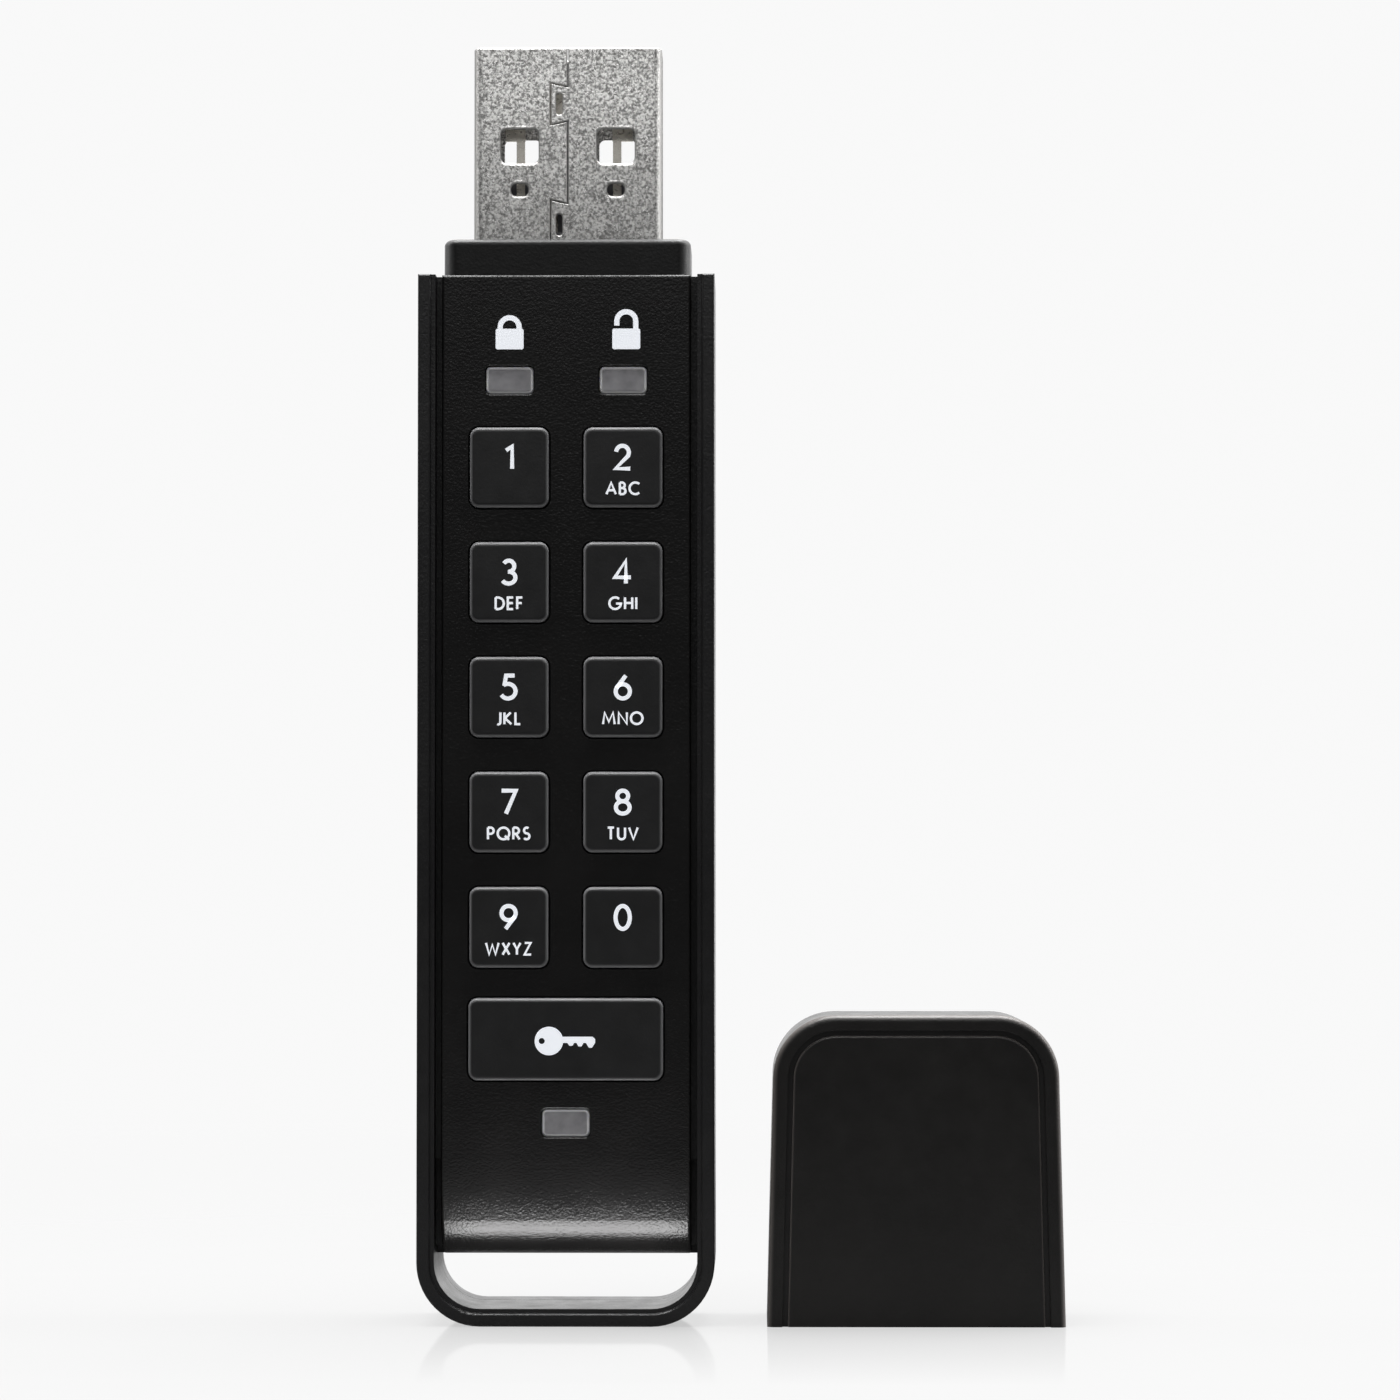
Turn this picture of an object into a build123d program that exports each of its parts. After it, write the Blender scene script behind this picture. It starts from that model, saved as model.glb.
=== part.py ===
from build123d import *
import os

# Keypad-locked USB flash drive standing on its lanyard loop, with its cap standing beside it.
# Millimetres. Origin: middle of the flat end of the loop. +Z runs along the drive to the plug,
# the keypad faces -Y and +X is to the right of someone looking at the keypad.

# ---- driving dimensions -------------------------------------------------------------------
WIDTH = 18.8
DEPTH = 8.8
BODY_TOP = 66.5
COLLAR_HEIGHT = 2.45
PLUG_LENGTH = 12.35
PLUG_WIDTH = 12.0
PLUG_DEPTH = 4.5
SHEET = 0.3

BAND = 1.1                # wall of the U-shaped case band
END_RADIUS = 4.0          # outer corners of the loop end, and of the cap's closed end
LOOP_TOP = 4.36           # top of the lanyard opening
WEB = 1.2                 # walls across the case, above the loop and under the collar
SEAM_Y = 1.8              # where the front frame meets the rear cover
REAR_WALL = 1.0

PANEL_RECESS = 0.45       # keypad panel, below the rails
PANEL_THICK = 1.0
PANEL_GAP = 0.4           # open groove beside the panel
LEDGE = 1.0               # step inside each rail that carries the panel and the board
NOSE_START = 10.5         # where the panel starts to roll back towards the loop
NOSE_BEND = 6.6           # below this height it rolls more tightly
NOSE_DROP = 0.5           # how far it has rolled back there
NOSE_BACK = -0.9          # rear face of its lower edge
PANEL_ROUND = 0.2
MOUTH_CHAMFER = 0.05      # edges of the key and window openings
GROOVE_FLOOR = -2.2       # floor of the groove beside the nose
RAIL_STEP = 0.28          # small step along the rails' inner edges
SEAM_CHAMFER = 0.08       # fine line where the two case halves meet
LIP_Z = (9.0, 62.0)       # the rear cover's locating lips
LIP_THICK = 0.7
BAND_ROUND = 0.15         # front edges of the case band
BACK_ROUND = 0.45         # back edges of the case, and the cap's edges
CONTOUR_INSET = 1.5       # contour groove on the backs of the case and cap
CONTOUR_W = 0.4
CONTOUR_DEPTH = 0.3
CONTOUR_RADIUS = 2.6

KEY_W = 5.0
KEY_H = 5.1
KEY_CORNER = 0.6
KEY_PROUD = 0.35
KEY_GAP = 0.07            # halo round each key
KEY_FLANGE = 0.4
KEY_ROUND = 0.3
KEY_PITCH_X = 7.2
KEY_PITCH_Z = 7.275
TOP_ROW_Z = 54.22
WIDE_KEY_W = 12.3
WIDE_KEY_Z = 18.06
ROWS = [("1", "2"), ("3", "4"), ("5", "6"), ("7", "8"), ("9", "0")]

WINDOW_W = 3.1
WINDOW_H = 1.84
WINDOW_CORNER = 0.35
LENS_ROUND = 0.25
LOCK_LIGHT_Z = 59.8
ACTIVITY_Z = 12.78

CAP_X = 22.1              # cap's centre line
CAP_HEIGHT = 19.6
CAP_TAPER = 0.024         # each side leans in by this much per millimetre of height
CAP_WALL = 1.4
CAP_POCKET = 15.0         # depth of the room for the collar and plug
CAP_RIM = 0.95            # plain border outside the contour groove
CAP_GROOVE = 0.35
CAP_GROOVE_DEPTH = 0.28
CAP_PANEL_ROUND = 0.18
CAP_CORNER = 1.1          # corners of its room
CAP_PANEL_RECESS = 0.08

# ---- what follows from them ---------------------------------------------------------------
FRONT = -DEPTH / 2
BACK = DEPTH / 2
INNER_W = WIDTH - 2 * BAND
INNER_RADIUS = END_RADIUS - BAND
PANEL_FRONT = FRONT + PANEL_RECESS
PANEL_BACK = PANEL_FRONT + PANEL_THICK
PANEL_W = INNER_W - 2 * PANEL_GAP
KEY_FRONT = PANEL_FRONT - KEY_PROUD
KEY_FLANGE_FRONT = PANEL_BACK + 0.05
KEY_FLANGE_BACK = KEY_FLANGE_FRONT + 0.4
MAT_BACK = KEY_FLANGE_BACK + 0.6
DOME_FRONT = MAT_BACK + 0.4
BOARD_FRONT = DOME_FRONT + 0.3
BOARD_BACK = BOARD_FRONT + 0.8
LENS_FRONT = PANEL_FRONT + 0.12
COLLAR_W = 15.75
COLLAR_D = -2 * PANEL_BACK
COLLAR_TOP = BODY_TOP + COLLAR_HEIGHT
FLANGE_FOOT = BODY_TOP - 2 * WEB
PLUG_TOP = COLLAR_TOP + PLUG_LENGTH
PLUG_FOOT = 62.5
BOARD_W = 15.2
BOARD_Z = (8.4, 62.3)
WIDE_KEY_H = KEY_H + 0.1


def slab(outline, front, back):
    """Extrude an (x, z) outline from y = front to y = back."""
    plane = Plane(origin=(0, front, 0), x_dir=(1, 0, 0), z_dir=(0, -1, 0))
    return extrude(plane * outline, amount=front - back)


def block(x_range, y_range, z_range):
    """A plain box between two corners."""
    spans = (x_range, y_range, z_range)
    middle = [(low + high) / 2 for low, high in spans]
    return Pos(*middle) * Box(*[high - low for low, high in spans])


def end_outline(width, low, high, radius):
    """A rectangle whose two lower corners are round."""
    face = Pos(0, (low + high) / 2) * Rectangle(width, high - low)
    return fillet(face.vertices().group_by(Axis.Y)[0], radius)


def rounded(width, height, radius, x=0.0, z=0.0):
    return Pos(x, z) * RectangleRounded(width, height, radius)


def edges_at(solid, y):
    """Edges that lie in the plane at this y."""
    return solid.edges().filter_by(lambda edge: max(abs(v.Y - y) for v in edge.vertices()) < 0.001)


def upright_prism(width, depth, radius, low, high):
    """A rounded rectangle about the plug's axis, standing from low to high."""
    return Pos(0, 0, low) * extrude(RectangleRounded(width, depth, radius), amount=high - low)


def key_places():
    """Name, x and z of the ten square keys."""
    for row, names in enumerate(ROWS):
        for name, side in zip(names, (-1, 1)):
            yield "key_" + name, side * KEY_PITCH_X / 2, TOP_ROW_Z - row * KEY_PITCH_Z


def light_places():
    """Name, x and z of the three indicator lights."""
    yield "locked", -KEY_PITCH_X / 2, LOCK_LIGHT_Z
    yield "unlocked", KEY_PITCH_X / 2, LOCK_LIGHT_Z
    yield "activity", 0.0, ACTIVITY_Z


# ---- case ---------------------------------------------------------------------------------
def collar_footprint(low, high):
    return upright_prism(COLLAR_W, COLLAR_D, 1.0, low, high)


def main_frame():
    """Front frame: two rails joined round the loop, with ledges, a web and a shoulder."""
    band = slab(end_outline(WIDTH, 0, BODY_TOP, END_RADIUS), FRONT, SEAM_Y)
    band -= slab(end_outline(INNER_W, BAND, BODY_TOP + 5, INNER_RADIUS), FRONT, SEAM_Y)
    wider = end_outline(INNER_W + 2 * RAIL_STEP, BAND - RAIL_STEP, BODY_TOP + 5, INNER_RADIUS + RAIL_STEP)
    band -= slab(wider, FRONT, FRONT + RAIL_STEP)
    band = fillet(edges_at(band, FRONT), BAND_ROUND)
    rims = edges_at(band, SEAM_Y)
    band = chamfer(rims.filter_by(lambda one: one.center().Z < BODY_TOP - 0.01), SEAM_CHAMFER)
    half = INNER_W / 2
    for side in (-1, 1):
        ledge = sorted((side * half, side * (half - LEDGE)))
        band += block(ledge, (PANEL_BACK, BOARD_FRONT), (NOSE_START, FLANGE_FOOT))
        strip = sorted((side * half, side * PANEL_W / 2))
        band += block(strip, (GROOVE_FLOOR, 0), (LOOP_TOP + WEB / 2, NOSE_START + WEB))
        band += block(strip, (PANEL_BACK, BOARD_FRONT), (FLANGE_FOOT - WEB, BODY_TOP - WEB / 2))
    band += block((-half, half), (NOSE_BACK, SEAM_Y), (LOOP_TOP, LOOP_TOP + WEB))
    band += block((-half, half), (PANEL_BACK, SEAM_Y), (BODY_TOP - WEB, BODY_TOP))
    return band - collar_footprint(BODY_TOP - WEB, BODY_TOP)


def rear_cover():
    """Rear shell: back wall, its half of the band and loop, and two locating lips."""
    shell = slab(end_outline(WIDTH, 0, BODY_TOP, END_RADIUS), SEAM_Y, BACK)
    shell -= slab(end_outline(INNER_W, BAND, LOOP_TOP, INNER_RADIUS), SEAM_Y, BACK)
    shell = fillet(edges_at(shell, BACK), BACK_ROUND)
    low = LOOP_TOP + WEB
    high = BODY_TOP - WEB
    middle = (low + high) / 2
    shell -= slab(Pos(0, middle) * Rectangle(INNER_W, high - low), SEAM_Y, BACK - REAR_WALL)
    shell -= collar_footprint(high, BODY_TOP)
    across, along = WIDTH - 2 * CONTOUR_INSET, high - low + 0.6
    ring = rounded(across, along, CONTOUR_RADIUS, z=middle)
    ring -= rounded(across - 2 * CONTOUR_W, along - 2 * CONTOUR_W, CONTOUR_RADIUS - CONTOUR_W, z=middle)
    shell -= slab(ring, BACK - CONTOUR_DEPTH, BACK)
    for side in (-1, 1):
        root = sorted((side * INNER_W / 2, side * (INNER_W / 2 - LIP_THICK)))
        lip = sorted((side * (INNER_W / 2 - 0.05), side * (INNER_W / 2 - LIP_THICK)))
        shell += block(root, (SEAM_Y, BACK - REAR_WALL), LIP_Z)
        shell += block(lip, (SEAM_Y - LIP_THICK, SEAM_Y), LIP_Z)
    return shell


def front_fascia():
    """Keypad panel: flat, then rolled back to a nose over the loop, with its openings."""
    with BuildLine(Plane.YZ) as edge:
        Line((PANEL_BACK, BODY_TOP), (PANEL_FRONT, BODY_TOP))
        Line((PANEL_FRONT, BODY_TOP), (PANEL_FRONT, NOSE_START))
        roll = TangentArc((PANEL_FRONT, NOSE_START), (PANEL_FRONT + NOSE_DROP, NOSE_BEND), tangent=(0, -1))
        TangentArc(roll @ 1, (NOSE_BACK - 0.25, LOOP_TOP), tangent=roll % 1)
        Polyline((NOSE_BACK - 0.25, LOOP_TOP), (NOSE_BACK, LOOP_TOP), (NOSE_BACK, LOOP_TOP + 2.5),
                 (GROOVE_FLOOR, NOSE_START - 2.3), (PANEL_BACK, NOSE_START), (PANEL_BACK, BODY_TOP))
    panel = extrude(make_face(edge.line), amount=PANEL_W / 2, both=True)
    rim = edges_at(panel, PANEL_FRONT).filter_by(lambda one: one.center().Z > NOSE_START + 1)
    panel = fillet(rim, PANEL_ROUND)
    openings = Sketch()
    for _, x, z in key_places():
        openings += rounded(KEY_W + 2 * KEY_GAP, KEY_H + 2 * KEY_GAP, KEY_CORNER + KEY_GAP, x, z)
    openings += rounded(WIDE_KEY_W + 2 * KEY_GAP, WIDE_KEY_H + 2 * KEY_GAP, KEY_CORNER + KEY_GAP,
                        z=WIDE_KEY_Z)
    for _, x, z in light_places():
        openings += rounded(WINDOW_W, WINDOW_H, WINDOW_CORNER, x, z)
    panel -= slab(openings, PANEL_FRONT, PANEL_BACK)
    mouths = edges_at(panel, PANEL_FRONT).filter_by(lambda one: abs(one.center().X) < PANEL_W / 2 - 0.6)
    mouths = mouths.filter_by(lambda one: NOSE_START + 0.5 < one.center().Z < BODY_TOP - 1)
    return chamfer(mouths, MOUTH_CHAMFER)


def plug_collar():
    """Raised collar round the plug, with a flange that the rear cover's shoulder holds down."""
    collar = collar_footprint(BODY_TOP - WEB, COLLAR_TOP)
    collar = fillet(collar.edges().group_by(Axis.Z)[-1], 0.4)
    collar += block((-PANEL_W / 2 + 0.1, PANEL_W / 2 - 0.1), (PANEL_BACK + 0.05, BACK - REAR_WALL - 0.1),
                    (FLANGE_FOOT, BODY_TOP - WEB))
    return collar - plug_outside(FLANGE_FOOT, COLLAR_TOP)


def plug_gasket():
    """Soft ring round the plug's foot, under the collar."""
    foot = FLANGE_FOOT - 1.2
    ring = upright_prism(PLUG_WIDTH + 2.2, PLUG_DEPTH + 1.0, 0.8, foot, FLANGE_FOOT)
    return ring - plug_outside(foot, FLANGE_FOOT)


# ---- plug ---------------------------------------------------------------------------------
LATCH_X = 3.07            # latch windows and the crimp holes below them
LATCH_SIZE = (2.4, 2.2)
LATCH_TOP = PLUG_TOP - 5.2
CRIMP_SIZE = (1.1, 0.8)
CRIMP_Z = PLUG_TOP - 9.1
RIM_RADIUS = 0.22
SEAM_GAP = 0.06
SEAM_BEVEL = 0.07
TAB_W = 1.1               # dovetail tabs of the sheet's seam
TAB_FLARE = 0.25
TABS = ((PLUG_TOP - 2.5, PLUG_TOP - 4.7), (PLUG_TOP - 10.0, PLUG_TOP - 12.7))
ROOT_TOP = PLUG_TOP - 11.8
CONTACT_THICK = 0.2
CONTACT_W = 1.3
TAIL_W = 0.54
CONTACT_BEND = PLUG_TOP - 5.7     # the strips are narrow below this height
CONTACT_FOOT = 61.0
CONTACTS = ((-3.45, -3.1, PLUG_TOP - 1.3), (-1.0, -1.0, PLUG_TOP - 1.8),
            (1.0, 1.0, PLUG_TOP - 1.8), (3.45, 3.1, PLUG_TOP - 1.3))


def plug_outside(low, high):
    return upright_prism(PLUG_WIDTH, PLUG_DEPTH, 0.55, low, high)


def plug_inside(low, high):
    return upright_prism(PLUG_WIDTH - 2 * SHEET, PLUG_DEPTH - 2 * SHEET, 0.25, low, high)


def seam_cut():
    """The butt joint of the folded sheet: a thin slit with two dovetail tabs."""
    points = [(0, PLUG_TOP)]
    for high, low in TABS:
        points += [(0, high), (-TAB_W, high + TAB_FLARE), (-TAB_W, low - TAB_FLARE), (0, low)]
    points += [(0, PLUG_FOOT)]
    slit = trace(Polyline(*points), SEAM_GAP)
    for high, low in TABS:
        slit += Pos(-TAB_W / 2, (high + low) / 2) * SlotOverall(1.4, 0.42, rotation=90)
    return slab(slit, -PLUG_DEPTH / 2 - 0.1, -PLUG_DEPTH / 2 + SHEET + 0.1)


def usb_shell():
    """Folded metal sheet with latch windows and crimp holes on both broad sides."""
    shell = plug_outside(PLUG_FOOT, PLUG_TOP) - plug_inside(PLUG_FOOT, PLUG_TOP)
    shell = chamfer(shell.edges().group_by(Axis.Z)[-1], 0.08)
    holes = Sketch()
    for side in (-1, 1):
        holes += rounded(*LATCH_SIZE, 0.4, side * LATCH_X, LATCH_TOP - LATCH_SIZE[1] / 2)
        holes += rounded(*CRIMP_SIZE, 0.35, side * LATCH_X, CRIMP_Z)
    shell -= slab(holes, -PLUG_DEPTH, PLUG_DEPTH)
    faces = edges_at(shell, -PLUG_DEPTH / 2) + edges_at(shell, PLUG_DEPTH / 2)
    faces = faces.filter_by(lambda one: abs(one.center().X) < LATCH_X + LATCH_SIZE[0] / 2 + 0.1)
    rims = faces.filter_by(lambda one: PLUG_FOOT + 1 < one.center().Z < PLUG_TOP - 1)
    shell = fillet(rims, RIM_RADIUS) - seam_cut()
    lips = edges_at(shell, -PLUG_DEPTH / 2).filter_by(
        lambda one: abs(one.center().X) < TAB_W + 0.3 and one.center().Z < PLUG_TOP - 0.2)
    return chamfer(lips, SEAM_BEVEL)


def contact_strips():
    """Four flat strips: wide at the tip, narrow where they run back to the board."""
    depth = (BOARD_BACK, BOARD_BACK + CONTACT_THICK)
    for x, tail_x, tip in CONTACTS:
        strip = block((x - CONTACT_W / 2, x + CONTACT_W / 2), depth, (CONTACT_BEND, tip))
        tail = (tail_x - TAIL_W / 2, tail_x + TAIL_W / 2)
        yield strip + block(tail, depth, (CONTACT_FOOT, CONTACT_BEND))


def usb_contacts():
    return Compound(children=list(contact_strips()))


def usb_insulator():
    """Moulded tongue with a thick root, open behind the latch windows."""
    face = BOARD_BACK + CONTACT_THICK
    depth = PLUG_DEPTH / 2 - SHEET
    half = PLUG_WIDTH / 2 - SHEET - 0.3
    tongue = block((-half, half), (face, depth), (PLUG_FOOT + 0.2, PLUG_TOP - 0.6))
    tongue += block((-half, half), (-depth, depth), (PLUG_FOOT + 0.2, ROOT_TOP))
    for middle in (-LATCH_X, LATCH_X):
        tongue -= block((middle - 1.5, middle + 1.5), (face, depth), (LATCH_TOP - 2.7, LATCH_TOP + 1.7))
    for strip in contact_strips():
        tongue -= strip
    return tongue


# ---- keypad and lights --------------------------------------------------------------------
def key_cap(x, z, width, height):
    """A key: rounded block with a soft front edge and a flange behind the panel."""
    cap = slab(rounded(width, height, KEY_CORNER, x, z), KEY_FRONT, KEY_FLANGE_FRONT)
    cap = fillet(edges_at(cap, KEY_FRONT), KEY_ROUND)
    rim = rounded(width + 2 * KEY_FLANGE, height + 2 * KEY_FLANGE, KEY_CORNER + KEY_FLANGE, x, z)
    return cap + slab(rim, KEY_FLANGE_FRONT, KEY_FLANGE_BACK)


def key_centres():
    for _, x, z in key_places():
        yield x, z
    yield 0.0, WIDE_KEY_Z


def keypad_mat():
    """Silicone sheet under the keys, with a nub over each dome."""
    low = WIDE_KEY_Z - WIDE_KEY_H / 2 - 0.6
    high = TOP_ROW_Z + KEY_H / 2 + 0.6
    mat = slab(rounded(14.4, high - low, 0.8, z=(low + high) / 2), KEY_FLANGE_BACK, MAT_BACK)
    for x, z in key_centres():
        mat += slab(Pos(x, z) * Circle(0.8), MAT_BACK, DOME_FRONT)
    return mat


def key_domes():
    domes = []
    for x, z in key_centres():
        domes.append(Pos(x, (DOME_FRONT + BOARD_FRONT) / 2, z) * Rot(90, 0, 0) * Cone(2.0, 1.2, 0.3))
    return Compound(children=domes)


def light_lens(x, z):
    """Window lens: recessed face, flange behind the panel and a short light guide."""
    face = rounded(WINDOW_W - 0.06, WINDOW_H - 0.06, WINDOW_CORNER, x, z)
    lens = slab(face, LENS_FRONT, PANEL_BACK)
    lens = fillet(edges_at(lens, LENS_FRONT), LENS_ROUND)
    lens += slab(rounded(WINDOW_W + 0.8, WINDOW_H + 0.8, 0.5, x, z), PANEL_BACK, PANEL_BACK + 0.3)
    return lens + slab(rounded(1.8, 1.1, 0.2, x, z), PANEL_BACK + 0.3, PANEL_BACK + 0.9)


def light_chip(x, z):
    """Surface-mounted LED: base and domed emitter block."""
    chip = slab(rounded(1.6, 0.8, 0.1, x, z), BOARD_FRONT - 0.35, BOARD_FRONT)
    return chip + slab(rounded(1.1, 0.7, 0.2, x, z), BOARD_FRONT - 0.6, BOARD_FRONT - 0.35)


# ---- board, chips and battery -------------------------------------------------------------
def circuit_board():
    low, high = BOARD_Z
    board = slab(rounded(BOARD_W, high - low, 0.8, z=(low + high) / 2), BOARD_FRONT, BOARD_BACK)
    for x in (-6.6, 6.6):
        board -= slab(Pos(x, low + 1.6) * Circle(0.5), BOARD_FRONT, BOARD_BACK)
    return board


def chip(x, z, width, height, thick):
    """A moulded package on the board's back, with a small pin-one dimple."""
    package = slab(rounded(width, height, 0.15, x, z), BOARD_BACK, BOARD_BACK + thick)
    dimple = Pos(x - width / 2 + 0.7, z + height / 2 - 0.7) * Circle(0.25)
    return package - slab(dimple, BOARD_BACK + thick - 0.1, BOARD_BACK + thick)


def board_passives():
    """Small resistors and capacitors: a row below the flash chip and three by the plug."""
    places = [(x * 1.9, 40.4) for x in range(-3, 4)]
    places += [(5.4, 59.9 + step * 0.8) for step in range(3)]
    return Compound(children=[slab(rounded(1.0, 0.5, 0.05, x, z), BOARD_BACK, BOARD_BACK + 0.5)
                              for x, z in places])


BATTERY_Y = (BOARD_BACK + 0.6, BACK - REAR_WALL - 0.4)
BATTERY_Z = (7.6, 31.6)


def battery():
    low, high = BATTERY_Z
    cell = slab(rounded(12.6, high - low, 0.8, z=(low + high) / 2), *BATTERY_Y)
    return fillet(edges_at(cell, BATTERY_Y[0]) + edges_at(cell, BATTERY_Y[1]), 0.5)


def battery_pad():
    low, high = BATTERY_Z
    return slab(rounded(10.0, high - low - 4, 0.5, z=(low + high) / 2), BATTERY_Y[1], BACK - REAR_WALL)


def battery_tabs():
    """Two bent strips from the cell's end to the board."""
    top = BATTERY_Z[1]
    strips = []
    for x in (-3.0, 3.0):
        strip = block((x - 0.7, x + 0.7), (1.2, 1.4), (top, top + 1.4))
        strip += block((x - 0.7, x + 0.7), (BOARD_BACK, 1.4), (top + 1.2, top + 1.4))
        strips.append(strip)
    return Compound(children=strips)


# ---- cap ----------------------------------------------------------------------------------
def cap_outline(low, inset=0.0):
    """Front view of the cap, leaning in towards a round-cornered closed end."""
    foot = WIDTH / 2 - CAP_TAPER * low
    head = WIDTH / 2 - CAP_TAPER * CAP_HEIGHT
    face = make_face(Polyline((-foot, low), (foot, low), (head, CAP_HEIGHT), (-head, CAP_HEIGHT), close=True))
    face = fillet(face.vertices().group_by(Axis.Y)[-1], END_RADIUS)
    if inset:
        face = offset(face, amount=-inset)
    return face


def cap_shell():
    """Outer cap: rounded edges, a grooved front, a grooved back and a pocket for the liner."""
    shell = slab(cap_outline(0), FRONT, BACK)
    rims = edges_at(shell, FRONT) + edges_at(shell, BACK)
    shell = fillet(rims.filter_by(lambda one: one.center().Z > 0.1), BACK_ROUND)
    panel = cap_outline(-4, CAP_RIM + CAP_GROOVE)
    shell -= slab(cap_outline(-4, CAP_RIM) - panel, FRONT, FRONT + CAP_GROOVE_DEPTH)
    shell -= slab(panel, FRONT, FRONT + CAP_PANEL_RECESS)
    contour = cap_outline(-4, CONTOUR_INSET) - cap_outline(-4, CONTOUR_INSET + CONTOUR_W)
    shell -= slab(contour, BACK - CONTOUR_DEPTH, BACK)
    face_edges = edges_at(shell, FRONT + CAP_PANEL_RECESS).filter_by(lambda one: one.center().Z > 0.1)
    shell = fillet(face_edges, CAP_PANEL_ROUND)
    shell -= upright_prism(WIDTH - 2 * CAP_WALL, DEPTH - 2 * CAP_WALL, CAP_CORNER, 0, CAP_POCKET)
    return Pos(CAP_X, 0, 0) * shell


def cap_liner():
    """Soft sleeve inside the cap that grips the plug, set in above the collar's room."""
    low = COLLAR_HEIGHT + 0.2
    sleeve = upright_prism(WIDTH - 2 * CAP_WALL, DEPTH - 2 * CAP_WALL, CAP_CORNER, low, CAP_POCKET)
    sleeve -= upright_prism(PLUG_WIDTH + 0.1, PLUG_DEPTH + 0.1, 0.5, low, CAP_POCKET)
    return Pos(CAP_X, 0, 0) * sleeve


# ---- every piece --------------------------------------------------------------------------
pieces = {
    "main_frame": main_frame(),
    "front_fascia": front_fascia(),
    "rear_cover": rear_cover(),
    "plug_collar": plug_collar(),
    "plug_gasket": plug_gasket(),
    "usb_shell": usb_shell(),
    "usb_insulator": usb_insulator(),
    "usb_contacts": usb_contacts(),
    "keypad_mat": keypad_mat(),
    "key_domes": key_domes(),
    "circuit_board": circuit_board(),
    "flash_chip": chip(0, 50.2, 12.0, 18.0, 1.0),
    "controller_chip": chip(-3.4, 36.8, 6.0, 6.0, 0.9),
    "security_chip": chip(3.6, 37.2, 5.0, 5.0, 0.9),
    "crystal": chip(-6.0, 60.9, 2.5, 1.6, 0.7),
    "board_passives": board_passives(),
    "battery": battery(),
    "battery_pad": battery_pad(),
    "battery_tabs": battery_tabs(),
    "cap_shell": cap_shell(),
    "cap_liner": cap_liner(),
}
for name, x, z in key_places():
    pieces[name] = key_cap(x, z, KEY_W, KEY_H)
pieces["key_symbol"] = key_cap(0, WIDE_KEY_Z, WIDE_KEY_W, WIDE_KEY_H)
for name, x, z in light_places():
    pieces["lens_" + name] = light_lens(x, z)
    pieces["led_" + name] = light_chip(x, z)

os.makedirs("parts", exist_ok=True)
for name, piece in pieces.items():
    export_step(piece, "parts/" + name + ".step")
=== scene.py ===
import math

import bmesh
import bpy
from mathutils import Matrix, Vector


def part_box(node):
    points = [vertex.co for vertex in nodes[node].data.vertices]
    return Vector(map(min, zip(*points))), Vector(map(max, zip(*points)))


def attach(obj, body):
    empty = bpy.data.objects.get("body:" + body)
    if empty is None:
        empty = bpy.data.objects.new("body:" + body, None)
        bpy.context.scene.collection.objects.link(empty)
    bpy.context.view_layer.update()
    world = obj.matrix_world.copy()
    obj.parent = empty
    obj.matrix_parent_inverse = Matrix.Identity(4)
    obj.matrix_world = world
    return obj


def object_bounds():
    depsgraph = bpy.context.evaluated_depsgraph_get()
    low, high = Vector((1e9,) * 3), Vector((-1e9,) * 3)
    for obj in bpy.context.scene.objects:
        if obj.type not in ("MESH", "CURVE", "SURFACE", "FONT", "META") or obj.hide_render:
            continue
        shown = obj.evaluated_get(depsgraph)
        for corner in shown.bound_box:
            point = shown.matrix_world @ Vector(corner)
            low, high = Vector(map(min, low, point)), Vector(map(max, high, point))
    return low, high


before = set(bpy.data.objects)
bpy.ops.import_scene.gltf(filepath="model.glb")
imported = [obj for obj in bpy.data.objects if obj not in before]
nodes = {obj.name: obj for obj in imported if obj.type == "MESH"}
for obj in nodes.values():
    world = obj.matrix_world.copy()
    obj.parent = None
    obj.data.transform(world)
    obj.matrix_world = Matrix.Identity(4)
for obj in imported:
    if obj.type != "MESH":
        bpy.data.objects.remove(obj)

MM = 0.001
cad_low, cad_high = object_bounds()


# ---- places read from the frame -------------------------------------------------------------
def middle(node):
    low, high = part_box(node)
    return (low + high) / 2


case_low, case_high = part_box("main_frame")
plug_low, plug_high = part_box("usb_shell")
front_y = case_low.y
panel_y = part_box("front_fascia")[0].y


# ---- camera -----------------------------------------------------------------------------------
SENSOR = 36.0
VIEW_WIDTH = 88.3 * MM          # width seen in the plane of the drive's front
DISTANCE = 265.0 * MM
SHIFT_UP = 0.05
EYE = Vector((12.0 * MM, front_y - DISTANCE, 28.0 * MM))
TARGET_X = 8.48 * MM
TARGET_Z = 39.46 * MM
CLIP = (0.01, 20.0)             # nearest and farthest distance drawn, in metres

cam_data = bpy.data.cameras.new("camera")
cam_data.sensor_width = SENSOR
cam_data.lens = SENSOR * DISTANCE / VIEW_WIDTH
cam_data.shift_y = SHIFT_UP
cam_data.clip_start, cam_data.clip_end = CLIP
camera = bpy.data.objects.new("camera", cam_data)
bpy.context.scene.collection.objects.link(camera)
aim = Vector((TARGET_X, front_y, TARGET_Z - SHIFT_UP * VIEW_WIDTH))
camera.location = EYE
camera.rotation_euler = (aim - EYE).to_track_quat("-Z", "Y").to_euler()
bpy.context.scene.camera = camera


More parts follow.
